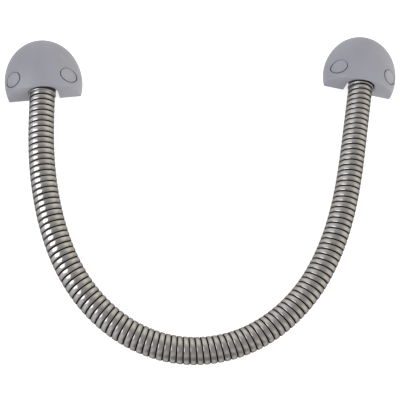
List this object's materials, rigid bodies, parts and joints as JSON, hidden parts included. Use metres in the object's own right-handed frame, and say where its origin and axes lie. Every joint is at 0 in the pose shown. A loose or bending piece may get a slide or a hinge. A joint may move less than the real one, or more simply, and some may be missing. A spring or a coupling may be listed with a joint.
{
  "type": "armoured door loop",
  "caption": "Strip-wound steel hose in a U between two domed plastic end caps with screw plugs; it carries wires across the hinge side of a door or window.",
  "frame": {"origin": "midway between the frame cap's two screws, on that cap's mounting face", "axes": "+Z out of the mounting plane, towards the domes; the hose leaves the frame cap along -Y, leaning 6 degrees towards -X; +X runs from the frame cap towards the door cap"},
  "size_m": [0.251, 0.2111, 0.019],
  "materials": {
    "cap_plastic": "satin moulded, light bluish grey",
    "plug_plastic": "satin moulded, light bluish grey",
    "hose_steel": "polished strip-wound stainless steel",
    "ferrule_steel": "polished",
    "bracket_steel": "zinc plated",
    "screw_steel": "zinc plated",
    "fitting_brass": "turned",
    "grommet_plastic": "soft black plastic"
  },
  "bodies": {
    "frame_cap": {"frame_cap_cover": "cap_plastic", "frame_bracket": "bracket_steel", "frame_screw_left": "screw_steel", "frame_screw_right": "screw_steel"},
    "frame_plug_left": {"frame_plug_left": "plug_plastic"},
    "frame_plug_right": {"frame_plug_right": "plug_plastic"},
    "hose_1": {"hose_section_1": "hose_steel", "frame_end_fitting": "fitting_brass", "frame_grommet": "grommet_plastic", "frame_ferrule": "ferrule_steel"},
    "hose_2": {"hose_section_2": "hose_steel"},
    "hose_3": {"hose_section_3": "hose_steel"},
    "hose_4": {"hose_section_4": "hose_steel"},
    "hose_5": {"hose_section_5": "hose_steel", "door_end_fitting": "fitting_brass", "door_grommet": "grommet_plastic", "door_ferrule": "ferrule_steel"},
    "door_cap": {"door_cap_cover": "cap_plastic", "door_bracket": "bracket_steel", "door_screw_left": "screw_steel", "door_screw_right": "screw_steel"},
    "door_plug_left": {"door_plug_left": "plug_plastic"},
    "door_plug_right": {"door_plug_right": "plug_plastic"}
  },
  "joints": [
    {"name": "frame_swivel", "type": "hinge", "parent": "frame_cap", "child": "hose_1", "pos_m": [0, -0.0038, 0.008], "axis": [-0.107, -0.9943, 0], "range_deg": [0, 60], "deforming": ["hose_section_1"]},
    {"name": "loop_flex", "type": "hinge", "parent": "hose_1", "child": "hose_2", "pos_m": [-0.00073, -0.08811, 0.008], "axis": [0, 0, 1], "range_deg": [-25, 8], "deforming": ["hose_section_2"]},
    {"name": "loop_flex_2", "type": "hinge", "parent": "hose_2", "child": "hose_3", "pos_m": [0.03967, -0.15978, 0.008], "axis": [0, 0, 1], "range_deg": [-25, 8], "deforming": ["hose_section_3"]},
    {"name": "loop_flex_3", "type": "hinge", "parent": "hose_3", "child": "hose_4", "pos_m": [0.11986, -0.16261, 0.008], "axis": [0, 0, 1], "range_deg": [-25, 8], "deforming": ["hose_section_4"]},
    {"name": "loop_flex_4", "type": "hinge", "parent": "hose_4", "child": "hose_5", "pos_m": [0.17269, -0.0985, 0.008], "axis": [0, 0, 1], "range_deg": [-25, 8], "deforming": ["hose_section_5"]},
    {"name": "door_swivel", "type": "hinge", "parent": "hose_5", "child": "door_cap", "pos_m": [0.201, -0.0188, 0.008], "axis": [-0.3183, -0.948, 0], "range_deg": [0, 60]},
    {"name": "frame_plug_left_pull", "type": "slide", "parent": "frame_cap", "child": "frame_plug_left", "axis": [0, 0, 1], "range_m": [0, 0.008]},
    {"name": "frame_plug_right_pull", "type": "slide", "parent": "frame_cap", "child": "frame_plug_right", "axis": [0, 0, 1], "range_m": [0, 0.008]},
    {"name": "door_plug_left_pull", "type": "slide", "parent": "door_cap", "child": "door_plug_left", "axis": [0, 0, 1], "range_m": [0, 0.008]},
    {"name": "door_plug_right_pull", "type": "slide", "parent": "door_cap", "child": "door_plug_right", "axis": [0, 0, 1], "range_m": [0, 0.008]}
  ],
  "couplings": [
    {"joint": "loop_flex_2", "follows": "loop_flex", "ratio": 1},
    {"joint": "loop_flex_3", "follows": "loop_flex", "ratio": 1},
    {"joint": "loop_flex_4", "follows": "loop_flex", "ratio": 1},
    {"joint": "door_swivel", "follows": "frame_swivel", "ratio": 1}
  ]
}
